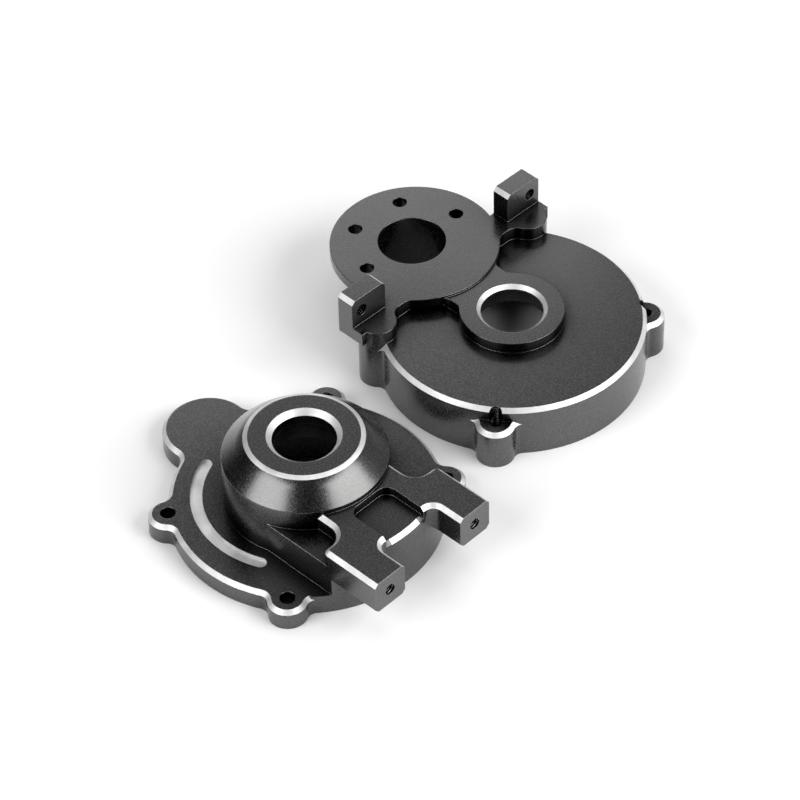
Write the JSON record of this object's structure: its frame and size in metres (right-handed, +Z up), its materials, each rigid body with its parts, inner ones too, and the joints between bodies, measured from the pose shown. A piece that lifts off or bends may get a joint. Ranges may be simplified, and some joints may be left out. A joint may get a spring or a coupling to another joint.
{
  "type": "center differential case",
  "caption": "Open metal gear case in two shells: a deep drum with a round motor plate and tabs, and a flange with a coned bearing boss, neck and screw arms.",
  "frame": {"origin": "middle of the pair's outline on the ground, both joint faces lying on z = 0", "axes": "+X from the output side's bore to the motor side's bore, +Y towards the motor plate, +Z up along the bores"},
  "size_m": [0.1155, 0.0806, 0.022],
  "materials": {
    "motor_side_case": "black anodised satin with bare bright bevels",
    "output_side_case": "black anodised satin with bare bright bevels"
  },
  "bodies": {
    "root": {"motor_side_case": "motor_side_case", "output_side_case": "output_side_case"}
  },
  "joints": []
}
